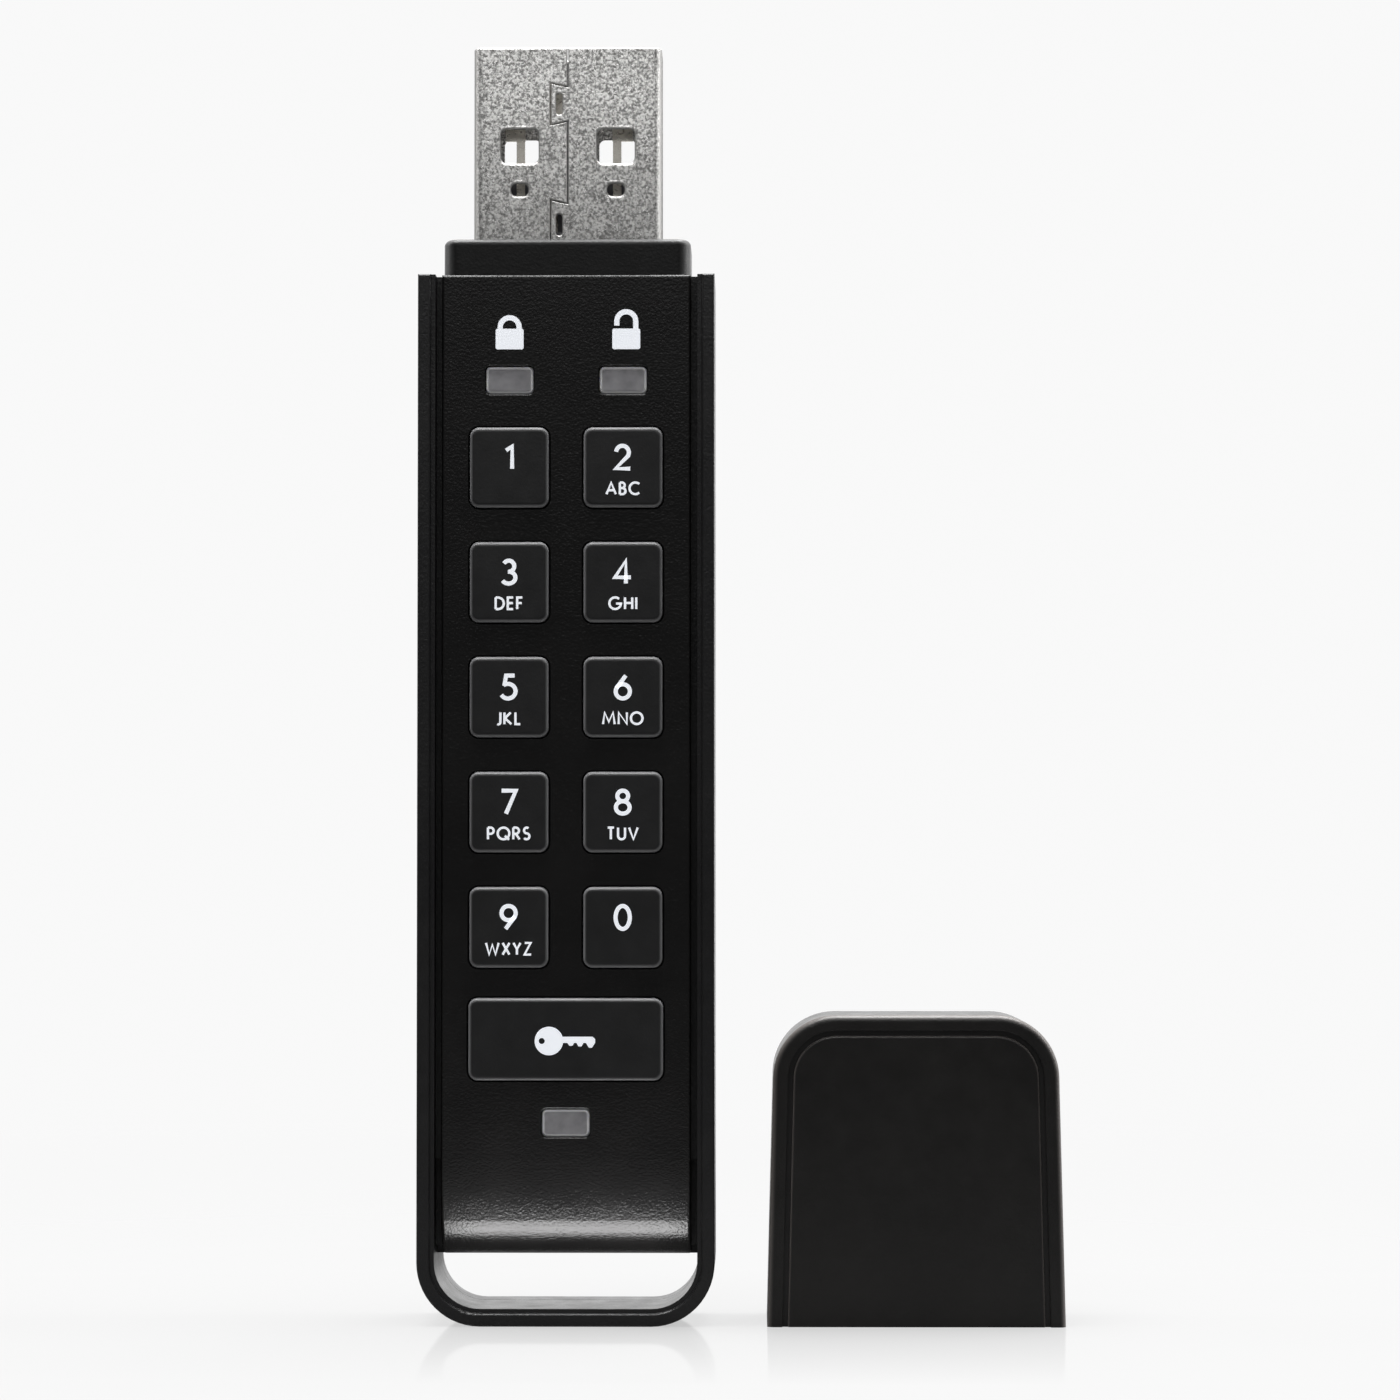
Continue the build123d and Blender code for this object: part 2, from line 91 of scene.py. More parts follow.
# ---- material helpers ---------------------------------------------------------------------------
class Shader:
    """Builds one Principled material with small helpers for its nodes."""

    def __init__(self, name):
        self.material = bpy.data.materials.new(name)
        self.material.use_nodes = True
        self.tree = self.material.node_tree
        self.surface = self.tree.nodes["Principled BSDF"]
        self.where = self.tree.nodes.new("ShaderNodeTexCoord").outputs["Object"]

    def node(self, kind, **values):
        made = self.tree.nodes.new(kind)
        for key, value in values.items():
            if key in made.inputs:
                made.inputs[key].default_value = value
            else:
                setattr(made, key, value)
        return made

    def link(self, source, target):
        self.tree.links.new(source, target)

    def noise(self, size_mm, detail=2.0, rough=0.5):
        """Noise whose features are about size_mm across."""
        made = self.node("ShaderNodeTexNoise", Scale=1.0 / (size_mm * MM), Detail=detail, Roughness=rough)
        self.link(self.where, made.inputs["Vector"])
        return made.outputs["Fac"]

    def spread(self, value, low, high, start=0.3, stop=0.7):
        """Maps a 0..1 texture value onto low..high."""
        made = self.node("ShaderNodeMapRange")
        made.inputs["From Min"].default_value = start
        made.inputs["From Max"].default_value = stop
        made.inputs["To Min"].default_value = low
        made.inputs["To Max"].default_value = high
        self.link(value, made.inputs["Value"])
        return made.outputs["Result"]

    def mixed(self, value, first, second):
        made = self.node("ShaderNodeMix", data_type="RGBA")
        made.inputs["A"].default_value = (*first, 1)
        made.inputs["B"].default_value = (*second, 1)
        self.link(value, made.inputs["Factor"])
        return made.outputs["Result"]

    def toward(self, colour, shade, factor):
        """Mixes a fixed shade into a colour by a factor."""
        made = self.node("ShaderNodeMix", data_type="RGBA")
        made.inputs["B"].default_value = (*shade, 1)
        self.link(factor, made.inputs["Factor"])
        self.link(colour, made.inputs["A"])
        return made.outputs["Result"]

    def blend(self, factor, first, second):
        """Mixes two surfaces by a factor."""
        made = self.node("ShaderNodeMixShader")
        for source, target in zip((factor, first, second), made.inputs):
            self.link(source, target)
        return made.outputs[0]

    def bump(self, value, height_mm, under=None, strength=None):
        """A normal raised by a texture value, over another normal and by a varying strength if given."""
        made = self.node("ShaderNodeBump", Strength=1.0, Distance=height_mm * MM)
        self.link(value, made.inputs["Height"])
        if under is not None:
            self.link(under, made.inputs["Normal"])
        if strength is not None:
            self.link(strength, made.inputs["Strength"])
        return made.outputs["Normal"]

    def rolled(self, flat=0.97, full=0.6):
        """1 on edges that roll away from the front, 0 on faces square to the front or the sides."""
        coords = self.node("ShaderNodeTexCoord")
        split = self.node("ShaderNodeSeparateXYZ")
        size = self.node("ShaderNodeMath", operation="ABSOLUTE")
        both = self.node("ShaderNodeMath", operation="MULTIPLY")
        self.link(coords.outputs["Normal"], split.inputs[0])
        self.link(split.outputs["Y"], size.inputs[0])
        self.link(self.spread(size.outputs[0], 1.0, 0.0, full, flat), both.inputs[0])
        self.link(self.spread(size.outputs[0], 0.0, 1.0, 0.02, 0.25), both.inputs[1])
        return both.outputs[0]

    def painted_edge_highlight(self, colour, shade, flat=0.97, full=0.6):
        """Paints a highlight: mixes a paler colour into a colour along the rolled edges."""
        return self.toward(colour, shade, self.rolled(flat, full))

    def edge(self, radius_mm):
        """A normal that softens sharp edges by a small radius."""
        return self.node("ShaderNodeBevel", samples=4, Radius=radius_mm * MM).outputs["Normal"]

    def set(self, **values):
        for key, value in values.items():
            name = key.replace("_", " ")
            self.surface.inputs[name].default_value = value

    def drive(self, name, source):
        self.link(source, self.surface.inputs[name])


def grained_plastic(name, dark, light, rough, grain_mm, height_mm, level=0.5, spread=0.05, highlight_colour=None):
    """Black moulded plastic with a fine raised grain, faint colour drift and handling marks.

    A highlight colour, if given, is painted on the rolled edges: a painted highlight."""
    s = Shader(name)
    drift = s.noise(6.0, 3.0)
    colour = s.mixed(s.spread(drift, 0.0, 1.0), dark, light)
    # painted highlight: a paler colour on the rolled edges
    if highlight_colour:
        colour = s.painted_edge_highlight(colour, highlight_colour)
    s.drive("Base Color", colour)
    marks = s.noise(1.5, 4.0, 0.6)
    s.drive("Roughness", s.spread(marks, rough - spread, rough + spread))
    grain = s.noise(grain_mm, 2.0, 0.6)
    s.drive("Normal", s.bump(grain, height_mm, under=s.edge(0.05)))
    s.set(Specular_IOR_Level=level)
    return s.material


def plated_sheet(name):
    """Nickel-plated steel with the pebbled grain of rolled connector sheet, darkened towards the collar by
    painted shade, with a painted highlight on its rolled edges.
    """
    pebble_mm, relief_mm = 0.145, 0.025
    collar_shade_low, collar_shade_high = cad_high.z - 13 * MM, cad_high.z - 3 * MM
    s = Shader(name)
    pebble = s.noise(pebble_mm, 3.0, 0.7)
    tint = s.spread(pebble, 0.0, 1.0, 0.42, 0.58)
    grain = s.mixed(tint, (0.24, 0.237, 0.23), (0.95, 0.94, 0.92))
    split = s.node("ShaderNodeSeparateXYZ")
    s.link(s.where, split.inputs[0])
    # painted shade: the metal is darkened towards the collar
    collar_shade = s.spread(split.outputs["Z"], 0.60, 0.0, collar_shade_low, collar_shade_high)
    shaded_grain = s.toward(grain, (0.09, 0.09, 0.088), collar_shade)
    # painted highlight: a paler colour on the rolled edges of the sheet and its windows
    s.drive("Base Color", s.painted_edge_highlight(shaded_grain, (0.46, 0.455, 0.445), 0.99))
    rough = s.node("ShaderNodeMix")
    rough.inputs["B"].default_value = 0.6
    s.link(s.rolled(0.99), rough.inputs["Factor"])
    s.link(s.spread(s.noise(0.5), 0.24, 0.34), rough.inputs["A"])
    s.drive("Roughness", rough.outputs["Result"])
    smooth_edges = s.spread(s.rolled(), 1.0, 0.0, 0.0, 1.0)
    s.drive("Normal", s.bump(pebble, relief_mm, strength=smooth_edges))
    s.set(Metallic=1.0, Specular_Tint=(0.15, 0.15, 0.15, 1))
    return s.material


def smooth_metal(name, colour):
    """Plated metal with a faint drift in its tone and gloss."""
    rough, grain_mm = 0.3, 0.4
    s = Shader(name)
    darker = tuple(c * 0.8 for c in colour)
    s.drive("Base Color", s.mixed(s.noise(grain_mm), darker, colour))
    s.drive("Roughness", s.spread(s.noise(grain_mm / 2), rough - 0.06, rough + 0.06))
    s.drive("Normal", s.bump(s.noise(grain_mm / 3), 0.004, under=s.edge(0.03)))
    s.set(Metallic=1.0)
    return s.material


def soft_matt(name, colour, rough=0.75):
    """Silicone, foam and soft plastic: matt, with a faint cloudy tone."""
    s = Shader(name)
    paler = tuple(c * 1.35 + 0.004 for c in colour)
    s.drive("Base Color", s.mixed(s.noise(1.2, 3.0), colour, paler))
    s.drive("Roughness", s.spread(s.noise(0.4), rough - 0.06, rough + 0.06))
    s.drive("Normal", s.bump(s.noise(0.2), 0.008, under=s.edge(0.05)))
    return s.material


def smoky_lens(name):
    """Grey translucent window: milky body under a smooth face, faintly violet, with a painted highlight on
    its rolled rim.
    """
    s = Shader(name)
    cloud = s.noise(0.9, 2.0)
    body = s.mixed(s.spread(cloud, 0.0, 1.0), (0.20, 0.197, 0.207), (0.31, 0.305, 0.317))
    # near-white painted highlight on the rolled rim
    s.drive("Base Color", s.painted_edge_highlight(body, (0.95, 0.95, 0.97), 0.995, 0.85))
    s.drive("Roughness", s.spread(s.noise(0.3), 0.28, 0.4))
    s.drive("Normal", s.bump(s.noise(0.25), 0.004, under=s.edge(0.08)))
    s.set(Subsurface_Weight=0.35, Subsurface_Radius=(0.6 * MM, 0.6 * MM, 0.7 * MM), Coat_Weight=0.4)
    return s.material


def circuit_green(name):
    """Solder mask over faint copper traces."""
    s = Shader(name)
    lines = s.node("ShaderNodeTexWave", wave_type="BANDS", bands_direction="X", Scale=330.0, Distortion=6.0)
    s.link(s.where, lines.inputs["Vector"])
    tracks = s.spread(lines.outputs["Fac"], 0.0, 1.0, 0.45, 0.55)
    s.drive("Base Color", s.mixed(tracks, (0.008, 0.07, 0.03), (0.02, 0.14, 0.05)))
    s.drive("Roughness", s.spread(s.noise(0.5), 0.25, 0.4))
    s.drive("Normal", s.bump(tracks, 0.01))
    return s.material


def print_ink(name):
    """White screen ink: nearly flat, slightly uneven at its edges and in its cover, with a faint glow that is
    painted light.
    """
    s = Shader(name)
    cover = s.noise(0.12, 3.0, 0.6)
    s.drive("Base Color", s.mixed(s.spread(cover, 0.0, 1.0), (0.70, 0.72, 0.76), (0.84, 0.86, 0.90)))
    s.drive("Roughness", s.spread(s.noise(0.3), 0.5, 0.62))
    s.drive("Normal", s.bump(cover, 0.004))
    # faint glow of the ink: painted light, it is no lamp
    s.set(Emission_Color=(0.85, 0.88, 0.93, 1), Emission_Strength=0.42)
    return s.material


def wrapped_cell(name):
    """Battery cell in its creased foil wrap."""
    s = Shader(name)
    s.drive("Base Color", s.mixed(s.noise(2.5), (0.42, 0.42, 0.44), (0.6, 0.6, 0.62)))
    s.drive("Roughness", s.spread(s.noise(0.7, 4.0), 0.25, 0.45))
    s.drive("Normal", s.bump(s.noise(1.0, 4.0), 0.03, under=s.edge(0.1)))
    s.set(Metallic=0.7)
    return s.material


# ---- materials, one for each kind of piece --------------------------------------------------------
case_black = grained_plastic("case_black", (0.0045, 0.0045, 0.0050), (0.0080, 0.0078, 0.0080),
                             0.34, 0.16, 0.030, level=0.4)
fascia_black = grained_plastic("fascia_black", (0.0028, 0.0027, 0.0027), (0.0055, 0.0053, 0.0052),
                               0.22, 0.15, 0.034, level=0.32, spread=0.02)
# collar, keys and cap get a paler colour on their rolled edges: a painted highlight
collar_black = grained_plastic("collar_black", (0.0020, 0.0020, 0.0021), (0.0032, 0.0032, 0.0033),
                               0.38, 0.17, 0.020, level=0.28, highlight_colour=(0.10, 0.10, 0.10))
key_black = grained_plastic("key_black", (0.0080, 0.0080, 0.0084), (0.0110, 0.0110, 0.0115),
                            0.38, 0.20, 0.010, level=0.4, highlight_colour=(0.22, 0.22, 0.225))
cap_black = grained_plastic("cap_black", (0.0045, 0.0040, 0.0037), (0.0075, 0.0067, 0.0062),
                            0.38, 0.17, 0.020, level=0.36, highlight_colour=(0.11, 0.10, 0.095))
ink = print_ink("print_ink")
lens = smoky_lens("lens_grey")
silicone = soft_matt("silicone", (0.05, 0.05, 0.055))
chip_black = soft_matt("chip_black", (0.018, 0.018, 0.02), 0.5)

paint = {
    "main_frame": case_black,
    "rear_cover": case_black,
    "front_fascia": fascia_black,
    "plug_collar": collar_black,
    "cap_shell": cap_black,
    "cap_liner": soft_matt("liner_black", (0.02, 0.02, 0.021), 0.65),
    "plug_gasket": silicone,
    "keypad_mat": silicone,
    "usb_shell": plated_sheet("plug_metal"),
    "usb_insulator": soft_matt("insulator_black", (0.06, 0.06, 0.065), 0.5),
    "usb_contacts": smooth_metal("contact_metal", (0.66, 0.63, 0.57)),
    "key_domes": smooth_metal("dome_steel", (0.62, 0.61, 0.6)),
    "circuit_board": circuit_green("board_green"),
    "flash_chip": chip_black,
    "controller_chip": chip_black,
    "security_chip": chip_black,
    "crystal": smooth_metal("can_metal", (0.7, 0.7, 0.68)),
    "board_passives": soft_matt("ceramic_tan", (0.4, 0.3, 0.2), 0.45),
    "battery": wrapped_cell("battery_wrap"),
    "battery_pad": soft_matt("foam", (0.08, 0.08, 0.08), 0.85),
    "battery_tabs": smooth_metal("tab_nickel", (0.7, 0.68, 0.64)),
}
led_body = soft_matt("led_white", (0.75, 0.75, 0.7), 0.35)
for name, obj in nodes.items():
    if name.startswith("key_") and name != "key_domes":
        paint[name] = key_black
    elif name.startswith("lens_"):
        paint[name] = lens
    elif name.startswith("led_"):
        paint[name] = led_body
    obj.data.materials.clear()
    obj.data.materials.append(paint[name])


# ---- printed signs: strokes and outlines of thin ink -------------------------------------------------
INK_THICK = 0.014 * MM
ARC_STEP = 12.0                  # degrees between points of a round stroke
SAME_POINT = 0.0005 * MM         # points closer than this are one point
CLOSED_GAP = 0.002 * MM          # a stroke whose ends are closer than this is closed
MITRE_LIMIT = 0.62               # keeps a sharp corner's mitre short
STROKE_LIFT = 0.0004 * MM        # each stroke of a row stands this much above the last
SIGN_LIFT = 0.0006 * MM          # second shape of a sign, above its first


def arc(cx, cy, rx, ry, start, stop):
    """Points along an ellipse, from one angle to another in degrees."""
    steps = max(2, int(abs(stop - start) / ARC_STEP))
    angles = [math.radians(start + (stop - start) * i / steps) for i in range(steps + 1)]
    return [(cx + rx * math.cos(a), cy + ry * math.sin(a)) for a in angles]


def bowl(x, cy, rx, ry):
    """A half-round bowl on the right of a stem at x = 0."""
    return [(0, cy + ry), (x, cy + ry)] + arc(x, cy, rx, ry, 90, -90)[1:-1] + [(x, cy - ry), (0, cy - ry)]


# Each sign is a list of strokes drawn along their centre lines, one unit high.
STROKES = {
    "0": [arc(0.31, 0.5, 0.31, 0.5, 90, 450)],
    "1": [[(0.0, 0.80), (0.26, 0.98), (0.26, 0.0)]],
    "2": [arc(0.30, 0.70, 0.28, 0.30, 172, -28) + [(0.0, 0.0), (0.64, 0.0)]],
    "3": [arc(0.27, 0.76, 0.24, 0.24, 150, -90), arc(0.26, 0.26, 0.30, 0.26, 95, -150)],
    "4": [[(0.48, 0.0), (0.48, 1.0), (0.0, 0.27), (0.70, 0.27)]],
    "5": [[(0.54, 1.0), (0.17, 1.0), (0.09, 0.55)], arc(0.25, 0.32, 0.33, 0.32, 126, -150)],
    "6": [[(0.44, 1.0)] + arc(0.31, 0.31, 0.31, 0.31, 152, 512)],
    "7": [[(0.0, 1.0), (0.62, 1.0), (0.19, 0.0)]],
    "8": [arc(0.30, 0.77, 0.235, 0.23, 90, 450), arc(0.30, 0.27, 0.30, 0.27, 90, 450)],
    "9": [[(0.18, 0.0)] + arc(0.31, 0.69, 0.31, 0.31, -28, 332)],
    "A": [[(0.0, 0.0), (0.40, 1.0), (0.80, 0.0)], [(0.14, 0.34), (0.66, 0.34)]],
    "B": [[(0, 0), (0, 1)], bowl(0.18, 0.765, 0.24, 0.235), bowl(0.22, 0.265, 0.27, 0.265)],
    "C": [arc(0.5, 0.5, 0.5, 0.5, 48, 312)],
    "D": [[(0, 0), (0, 1)], bowl(0.2, 0.5, 0.5, 0.5)],
    "E": [[(0.46, 1), (0, 1), (0, 0), (0.46, 0)], [(0, 0.52), (0.44, 0.52)]],
    "F": [[(0.44, 1), (0, 1), (0, 0)], [(0, 0.52), (0.40, 0.52)]],
    "G": [arc(0.5, 0.5, 0.5, 0.5, 48, 352) + [(1.0, 0.47), (0.58, 0.47)]],
    "H": [[(0, 0), (0, 1)], [(0.62, 0), (0.62, 1)], [(0, 0.52), (0.62, 0.52)]],
    "I": [[(0, 0), (0, 1)]],
    "J": [[(0.26, 1), (0.26, 0.16)] + arc(0.08, 0.16, 0.18, 0.18, -10, -120)],
    "K": [[(0, 0), (0, 1)], [(0.54, 1), (0.04, 0.50), (0.60, 0)]],
    "L": [[(0, 1), (0, 0), (0.42, 0)]],
    "M": [[(0, 0), (0.14, 1), (0.50, 0.18), (0.86, 1), (1.0, 0)]],
    "N": [[(0, 0), (0, 1), (0.70, 0), (0.70, 1)]],
    "O": [arc(0.5, 0.5, 0.5, 0.5, 90, 450)],
    "P": [[(0, 0), (0, 1)], bowl(0.22, 0.735, 0.27, 0.265)],
    "Q": [arc(0.5, 0.5, 0.5, 0.5, 90, 450), [(0.62, 0.30), (0.98, -0.04)]],
    "R": [[(0, 0), (0, 1)], bowl(0.22, 0.735, 0.26, 0.265), [(0.20, 0.47), (0.54, 0)]],
    "S": [arc(0.25, 0.755, 0.21, 0.245, 45, 270) + arc(0.25, 0.255, 0.25, 0.255, 90, -145)],
    "T": [[(0, 1), (0.54, 1)], [(0.27, 1), (0.27, 0)]],
    "U": [[(0, 1), (0, 0.28)] + arc(0.30, 0.28, 0.30, 0.28, 180, 360)[1:] + [(0.60, 1)]],
    "V": [[(0, 1), (0.37, 0), (0.74, 1)]],
    "W": [[(0, 1), (0.27, 0), (0.54, 0.86), (0.81, 0), (1.08, 1)]],
    "X": [[(0, 1), (0.58, 0)], [(0.58, 1), (0, 0)]],
    "Y": [[(0, 1), (0.30, 0.46), (0.60, 1)], [(0.30, 0.46), (0.30, 0)]],
    "Z": [[(0.03, 1), (0.54, 1), (0, 0), (0.57, 0)]],
}


def without_repeats(points):
    kept = [points[0]]
    for point in points[1:]:
        if math.dist(point, kept[-1]) > SAME_POINT:
            kept.append(point)
    return kept


def sides_of(points, width):
    """The two edges of a ribbon of this width along the points, with mitred corners."""
    points = without_repeats(points)
    closed = math.dist(points[0], points[-1]) < CLOSED_GAP
    if closed:
        points = points[:-1]
    count = len(points)
    left = []
    right = []
    for i, (x, z) in enumerate(points):
        before = Vector(points[i - 1]) if (closed or i) else None
        after = Vector(points[(i + 1) % count]) if (closed or i < count - 1) else None
        here = Vector((x, z))
        steps = []
        if before:
            steps.append((here - before).normalized())
        if after:
            steps.append((after - here).normalized())
        along = sum(steps, Vector((0, 0))).normalized()
        across = Vector((-along.y, along.x))
        lean = across.dot(Vector((-steps[0].y, steps[0].x)))
        reach = width / 2 / max(lean, MITRE_LIMIT)
        left.append(here + across * reach)
        right.append(here - across * reach)
    return left, right, closed


def ribbon(mesh, points, width, place, lift):
    """Adds one flat stroke, INK_THICK high, facing -Y."""
    left, right, closed = sides_of(points, width)
    top = place[1] - INK_THICK - lift
    rings = []
    for a, b in zip(left, right):
        corners = ((a, top), (b, top), (b, place[1]), (a, place[1]))
        rings.append([mesh.verts.new((place[0] + p.x, y, place[2] + p.y)) for p, y in corners])
    spans = list(zip(rings, rings[1:]))
    if closed:
        spans.append((rings[-1], rings[0]))
    for first, second in spans:
        for k in range(4):
            mesh.faces.new((first[k], first[(k + 1) % 4], second[(k + 1) % 4], second[k]))
    if not closed:
        mesh.faces.new(reversed(rings[0]))
        mesh.faces.new(rings[-1])


def plate(mesh, outline, place):
    """Adds a flat filled outline, INK_THICK high, facing -Y."""
    pairs = zip(outline, outline[1:] + outline[:1])
    if sum(a[0] * b[1] - b[0] * a[1] for a, b in pairs) < 0:
        outline = outline[::-1]
    rows = []
    for y in (place[1] - INK_THICK, place[1]):
        rows.append([mesh.verts.new((place[0] + x, y, place[2] + z)) for x, z in outline])
    mesh.faces.new(rows[0])
    mesh.faces.new(reversed(rows[1]))
    for i in range(len(outline)):
        j = (i + 1) % len(outline)
        mesh.faces.new((rows[0][i], rows[1][i], rows[1][j], rows[0][j]))


def as_piece(mesh, name, body):
    """Turns a finished bmesh into an inked piece that rides on a body."""
    data = bpy.data.meshes.new(name)
    mesh.to_mesh(data)
    mesh.free()
    data.materials.append(ink)
    obj = bpy.data.objects.new(name, data)
    bpy.context.scene.collection.objects.link(obj)
    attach(obj, body)
    return obj


def sign_width(text, size, stroke, gap):
    """Width of a row of signs, from the outer edge of the first to that of the last."""
    widths = [max(x for part in STROKES[c] for x, _ in part) * size + stroke for c in text]
    return sum(widths) + gap * (len(text) - 1)


def write_row(mesh, text, centre, height, stroke, gap):
    """Writes a row of signs whose overall height is given, centred on a point."""
    size = height - stroke
    x = centre[0] - sign_width(text, size, stroke, gap) / 2 + stroke / 2
    lift = 0.0
    for sign in text:
        for part in STROKES[sign]:
            points = [(px * size, pz * size) for px, pz in part]
            ribbon(mesh, points, stroke, (x, centre[1], centre[2] - size / 2), lift)
            lift += STROKE_LIFT
        x += max(px for part in STROKES[sign] for px, _ in part) * size + stroke + gap


DIGIT_HEIGHT = 1.71 * MM
DIGIT_STROKE = 0.26 * MM
DIGIT_DROP = 1.07 * MM           # key's top edge to the digit's top
LETTER_HEIGHT = 0.88 * MM
LETTER_STROKE = 0.145 * MM
LETTER_GAP = 0.11 * MM
LETTER_RISE = 0.76 * MM          # key's bottom edge to the letters' feet
KEY_FLANGE = 0.4 * MM            # hidden rim round each key, behind the panel
LETTERS = {"2": "ABC", "3": "DEF", "4": "GHI", "5": "JKL", "6": "MNO", "7": "PQRS", "8": "TUV", "9": "WXYZ"}

for digit in "1234567890":
    low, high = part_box("key_" + digit)
    x = (low.x + high.x) / 2
    mesh = bmesh.new()
    top = high.z - KEY_FLANGE - DIGIT_DROP
    write_row(mesh, digit, (x, low.y, top - DIGIT_HEIGHT / 2), DIGIT_HEIGHT, DIGIT_STROKE, 0.0)
    if digit in LETTERS:
        foot = low.z + KEY_FLANGE + LETTER_RISE
        write_row(mesh, LETTERS[digit], (x, low.y, foot + LETTER_HEIGHT / 2),
                  LETTER_HEIGHT, LETTER_STROKE, LETTER_GAP)
    as_piece(mesh, "legend_" + digit, "key_" + digit + "_body")


BOW_ASIDE = 1.05 * MM            # key sign's bow, left of the middle of its key
BOW_DROP = 0.1 * MM
BOW_RADIUS = 0.90 * MM
BOW_POINTS = 40
EYE_RADIUS = 0.19 * MM
EYE_ASIDE = 0.45 * MM


def ring_outline(radius, count):
    angles = [2 * math.pi * i / count for i in range(count)]
    return [(radius * math.cos(a), radius * math.sin(a)) for a in angles]


def key_sign():
    """A key lying on its side: a round bow with a small eye, and a shank with teeth below."""
    centre = middle("key_symbol")
    low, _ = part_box("key_symbol")
    place = (centre.x - BOW_ASIDE, low.y, centre.z - BOW_DROP)
    mesh = bmesh.new()
    outer = ring_outline(BOW_RADIUS, BOW_POINTS)
    inner = [(x - EYE_ASIDE, z) for x, z in ring_outline(EYE_RADIUS, BOW_POINTS)]
    rows = []
    for y in (place[1] - INK_THICK, place[1]):
        for outline in (outer, inner):
            rows.append([mesh.verts.new((place[0] + x, y, place[2] + z)) for x, z in outline])
    outer_front, inner_front, outer_back, inner_back = rows
    count = len(outer)
    for i in range(count):
        j = (i + 1) % count
        mesh.faces.new((outer_front[i], outer_front[j], inner_front[j], inner_front[i]))
        mesh.faces.new((outer_back[j], outer_back[i], inner_back[i], inner_back[j]))
        mesh.faces.new((outer_front[i], outer_back[i], outer_back[j], outer_front[j]))
        mesh.faces.new((inner_front[j], inner_back[j], inner_back[i], inner_front[i]))
    top, under, deep = 0.27, -0.12, -0.42
    shank = [(0.72, top), (2.75, top), (2.92, 0.12), (2.92, -0.10), (2.72, deep), (2.52, deep), (2.34, under),
             (2.18, under), (2.06, -0.34), (1.86, -0.34), (1.74, under), (1.60, under), (1.48, -0.30),
             (1.30, -0.30), (1.16, under), (0.72, under)]
    plate(mesh, [(x * MM, z * MM) for x, z in shank], (place[0], place[1] - SIGN_LIFT, place[2]))
    return as_piece(mesh, "legend_key_sign", "key_symbol_body")


LOCK_WIDE = 1.77 * MM
LOCK_TALL = 1.31 * MM
LOCK_NICK = 0.08 * MM             # cut corners of the padlock's body
LOCK_BOW = 0.60 * MM
LOCK_WIRE = 0.33 * MM
SHUT_RISE = 0.10 * MM             # body's top to the middle of the bow's bend
OPEN_RISE = 0.47 * MM
OPEN_END = 0.28 * MM              # length of the open bow's free end
LOCK_RISE = 2.60 * MM             # light window's centre to the padlock body's centre
OPEN_ASIDE = 0.2 * MM             # open padlock, right of its window's centre


def padlock(name, x, z, opened):
    """A padlock: solid body and a bent bow, raised and open on the left if it is unlocked."""
    half_w, half_t = LOCK_WIDE / 2, LOCK_TALL / 2
    in_w, in_t = half_w - LOCK_NICK, half_t - LOCK_NICK
    body = [(-in_w, -half_t), (in_w, -half_t), (half_w, -in_t), (half_w, in_t),
            (in_w, half_t), (-in_w, half_t), (-half_w, in_t), (-half_w, -in_t)]
    mesh = bmesh.new()
    plate(mesh, body, (x, panel_y, z))
    bend = half_t + (OPEN_RISE if opened else SHUT_RISE)
    left_foot = bend - OPEN_END if opened else half_t
    path = [(-LOCK_BOW, left_foot)] + arc(0, bend, LOCK_BOW, LOCK_BOW, 180, 0) + [(LOCK_BOW, half_t)]
    ribbon(mesh, path, LOCK_WIRE, (x, panel_y, z), SIGN_LIFT)
    return as_piece(mesh, name, "drive")


key_sign()
for name, opened in (("locked", False), ("unlocked", True)):
    spot = middle("lens_" + name)
    aside = OPEN_ASIDE if opened else 0.0
    padlock("sign_" + name, spot.x + aside, spot.z + LOCK_RISE, opened)


# ---- stage: pale floor that fades into the pale surroundings, and soft studio light --------------------
WHITE = 0.945                    # surroundings as the camera sees them
ROOM = 0.17                      # brightness of the dim room on the keypad's side
BACKDROP = 1.6                   # brightness of the backdrop as the object sees it
BACKDROP_WAY = (0.30, 0.954, 0)
BACKDROP_FADE = (0.1, 0.95)      # from the room to the backdrop, by how far a ray points its way
FLOOR_HALF = 1.6
FLOOR_FADE = (60 * MM, 220 * MM)  # where the floor melts into the surroundings
FLOOR_MATT = 0.07
FLOOR_GLOW = (0.615, 0.70)       # beside the object and beyond the gloss
SHEET = (0.15, 0.02)             # how pale the floor is to the object, near and far
SHEET_FADE = (50 * MM, 90 * MM)  # reach of the white sheet that lights the object from below
SHINE = 0.12                     # floor's gloss beside the drive and cap
SHINE_ROUGH = 0.07
SHINE_TINT = 0.97
SHINE_X = 11 * MM
SHINE_FADE = (6 * MM, 35 * MM)
SHINE_SQUEEZE = 0.35             # the gloss reaches farther across than towards the camera


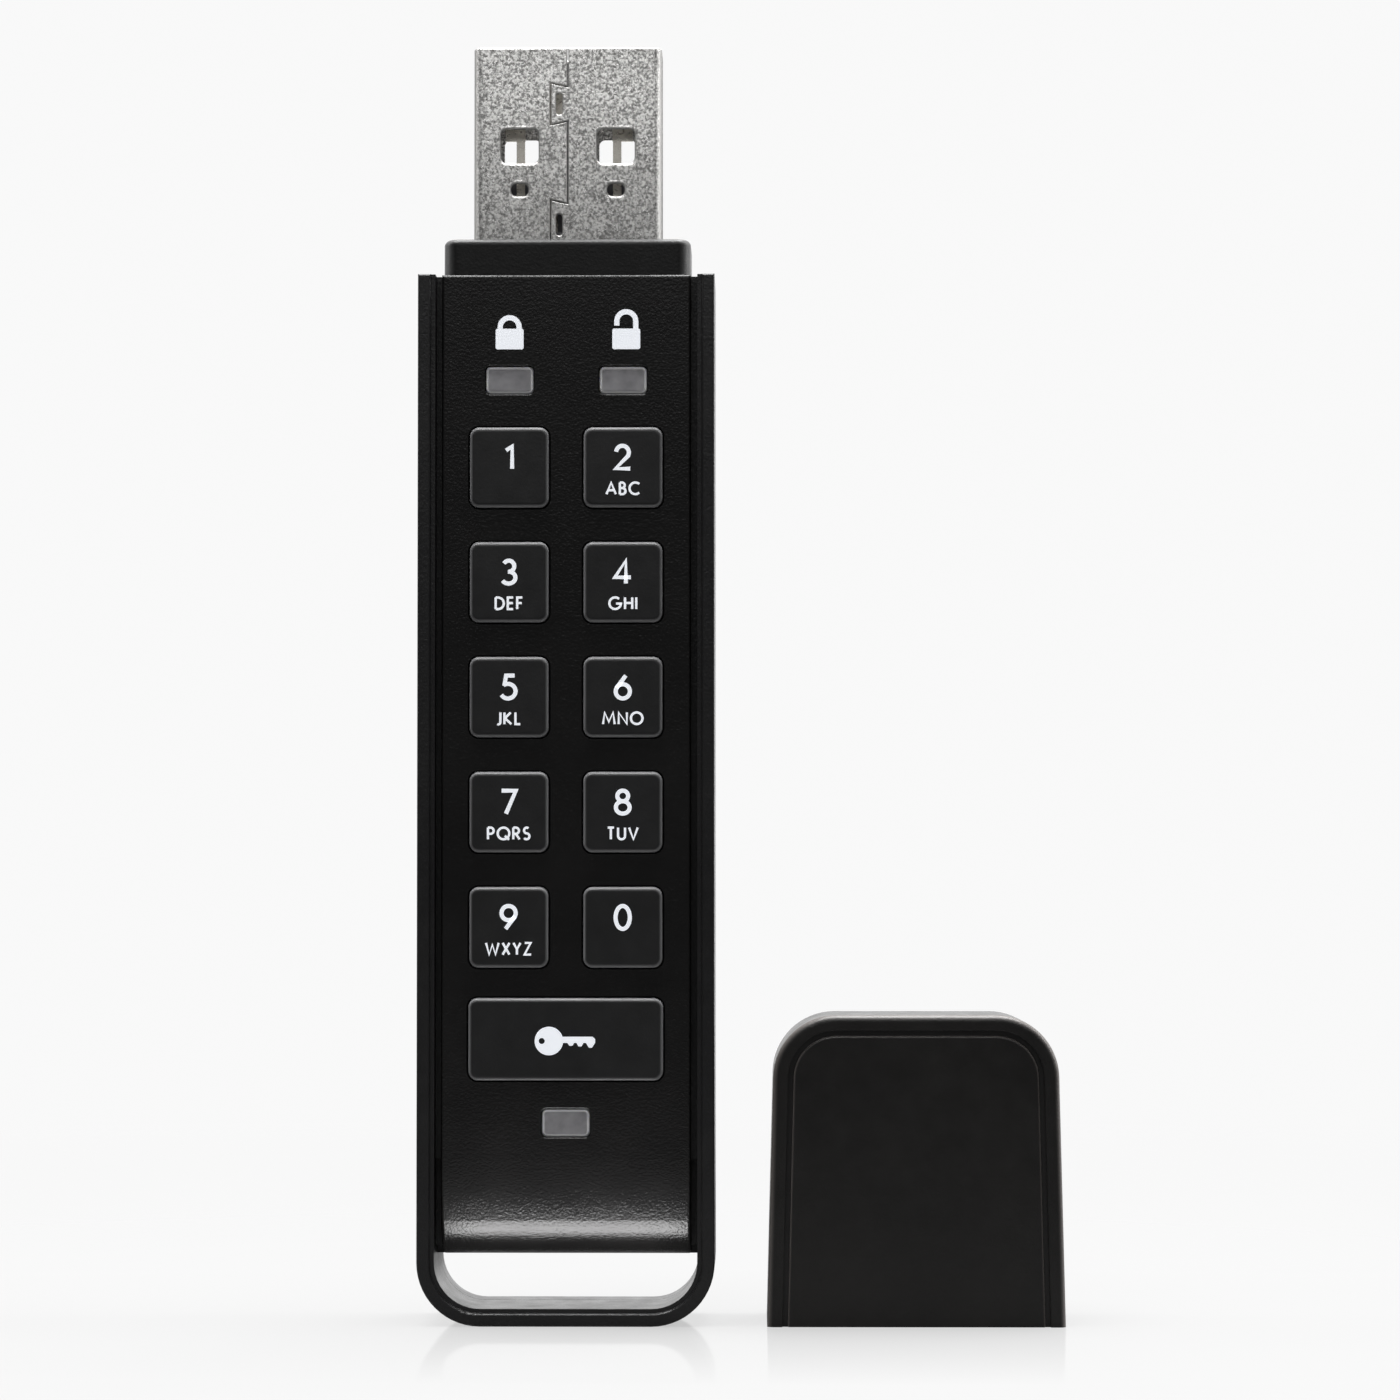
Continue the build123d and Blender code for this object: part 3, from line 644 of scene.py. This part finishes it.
def stage_floor():
    mesh = bmesh.new()
    bmesh.ops.create_grid(mesh, x_segments=8, y_segments=8, size=FLOOR_HALF)
    data = bpy.data.meshes.new("floor")
    mesh.to_mesh(data)
    mesh.free()
    obj = bpy.data.objects.new("floor", data)
    bpy.context.scene.collection.objects.link(obj)
    s = Shader("floor_white")
    s.tree.nodes.remove(s.surface)
    spot = s.node("ShaderNodeVectorMath", operation="MULTIPLY_ADD")
    spot.inputs[1].default_value = (SHINE_SQUEEZE, 1.0, 0.0)
    spot.inputs[2].default_value = (-SHINE_SQUEEZE * SHINE_X, 0.0, 0.0)
    s.link(s.where, spot.inputs[0])
    near = s.node("ShaderNodeVectorMath", operation="LENGTH")
    s.link(spot.outputs["Vector"], near.inputs[0])
    away = s.node("ShaderNodeVectorMath", operation="LENGTH")
    s.link(s.where, away.inputs[0])
    matt = s.node("ShaderNodeBsdfDiffuse", Color=(FLOOR_MATT, FLOOR_MATT, FLOOR_MATT, 1))
    glow = s.node("ShaderNodeEmission", Color=(1, 1, 1, 1))
    s.link(s.spread(near.outputs["Value"], *FLOOR_GLOW, *SHINE_FADE), glow.inputs["Strength"])
    pale = s.node("ShaderNodeAddShader")
    s.link(matt.outputs[0], pale.inputs[0])
    s.link(glow.outputs[0], pale.inputs[1])
    dim = s.node("ShaderNodeBsdfDiffuse")
    s.link(s.spread(away.outputs["Value"], *SHEET, *SHEET_FADE), dim.inputs["Color"])
    path = s.node("ShaderNodeLightPath")
    base = s.blend(path.outputs["Is Camera Ray"], dim.outputs[0], pale.outputs[0])
    tint = (SHINE_TINT, SHINE_TINT, SHINE_TINT, 1)
    shine = s.node("ShaderNodeBsdfGlossy", Color=tint, Roughness=SHINE_ROUGH)
    glossy = s.blend(s.spread(near.outputs["Value"], SHINE, 0.0, *SHINE_FADE), base, shine.outputs[0])
    fade = s.spread(away.outputs["Value"], 0.0, 1.0, *FLOOR_FADE)
    clear = s.node("ShaderNodeBsdfTransparent")
    edge = s.blend(fade, glossy, clear.outputs[0])
    s.link(edge, s.tree.nodes["Material Output"].inputs["Surface"])
    data.materials.append(s.material)


def soft_box(name, place, toward, width, height, power):
    """A rectangular light that the camera doesn't see."""
    data = bpy.data.lights.new(name, "AREA")
    data.shape = "RECTANGLE"
    data.size = width
    data.size_y = height
    data.energy = power
    obj = bpy.data.objects.new(name, data)
    bpy.context.scene.collection.objects.link(obj)
    obj.location = place
    obj.rotation_euler = (Vector(toward) - Vector(place)).to_track_quat("-Z", "Y").to_euler()
    obj.visible_camera = False
    return obj


def light_only(lamp, node):
    """Lets a small reflector light one piece and nothing else."""
    group = bpy.data.collections.new(lamp.name + "_lights")
    group.objects.link(nodes[node])
    lamp.light_linking.receiver_collection = group


def studio_world():
    """The camera sees plain white. The object is lit by a white backdrop behind and a dim room in front."""
    world = bpy.data.worlds.new("studio")
    bpy.context.scene.world = world
    world.use_nodes = True
    tree = world.node_tree
    out = tree.nodes["World Output"]
    shown = tree.nodes["Background"]
    shown.inputs["Color"].default_value = (1, 1, 1, 1)
    shown.inputs["Strength"].default_value = WHITE
    dim = tree.nodes.new("ShaderNodeBackground")
    dim.inputs["Color"].default_value = (1, 1, 1, 1)
    where = tree.nodes.new("ShaderNodeTexCoord")
    split = tree.nodes.new("ShaderNodeVectorMath")
    split.operation = "DOT_PRODUCT"
    split.inputs[1].default_value = BACKDROP_WAY
    room = tree.nodes.new("ShaderNodeMapRange")
    room.interpolation_type = "SMOOTHSTEP"
    room.inputs["From Min"].default_value, room.inputs["From Max"].default_value = BACKDROP_FADE
    room.inputs["To Min"].default_value = ROOM
    room.inputs["To Max"].default_value = BACKDROP
    tree.links.new(where.outputs["Generated"], split.inputs[0])
    tree.links.new(split.outputs["Value"], room.inputs["Value"])
    tree.links.new(room.outputs["Result"], dim.inputs["Strength"])
    path = tree.nodes.new("ShaderNodeLightPath")
    mix = tree.nodes.new("ShaderNodeMixShader")
    tree.links.new(path.outputs["Is Camera Ray"], mix.inputs[0])
    tree.links.new(dim.outputs[0], mix.inputs[1])
    tree.links.new(shown.outputs[0], mix.inputs[2])
    tree.links.new(mix.outputs[0], out.inputs["Surface"])


HEART = Vector((8 * MM, 0, 35 * MM))
PLUG = (plug_low + plug_high) / 2
CARD = 0.06

# Soft lights: place and aim, width and height in metres, power in watts.
LIGHTS = {
    "top": ((0.0, 0.02, 0.60), HEART, 0.60, 0.40, 12.0),
    "left": ((-0.45, 0.05, 0.30), HEART, 0.10, 0.40, 0.6),
    "right": ((0.45, 0.05, 0.30), HEART, 0.10, 0.40, 1.3),
    "front_high": ((0.05, -0.55, 0.50), HEART, 0.50, 0.25, 0.6),
    "plug_front": ((0.0, -0.14, 0.135), (0.0, 0.0, 0.078), 0.16, 0.07, 0.022),
    "foot": ((0, -0.008, 0.0004), (0, -0.008, 1.0), 0.016, 0.006, 0.0052),
    "plug_left": (PLUG + Vector((-0.13, -0.06, 0.01)), PLUG, CARD, CARD, 0.016),
    "plug_right": (PLUG + Vector((0.13, -0.06, 0.01)), PLUG, CARD, CARD, 0.024),
    "plug_below": (PLUG + Vector((0, -0.12, -0.05)), PLUG, CARD, CARD, 0.045),
}
LIGHTS_ONLY = {"foot": "front_fascia", "plug_left": "usb_shell", "plug_right": "usb_shell",
               "plug_below": "usb_shell"}

stage_floor()
studio_world()
for name, (place, toward, width, height, power) in LIGHTS.items():
    lamp = soft_box(name, place, toward, width, height, power)
    if name in LIGHTS_ONLY:
        light_only(lamp, LIGHTS_ONLY[name])

bpy.context.scene.view_settings.view_transform = "Standard"
bpy.context.scene.view_settings.look = "None"
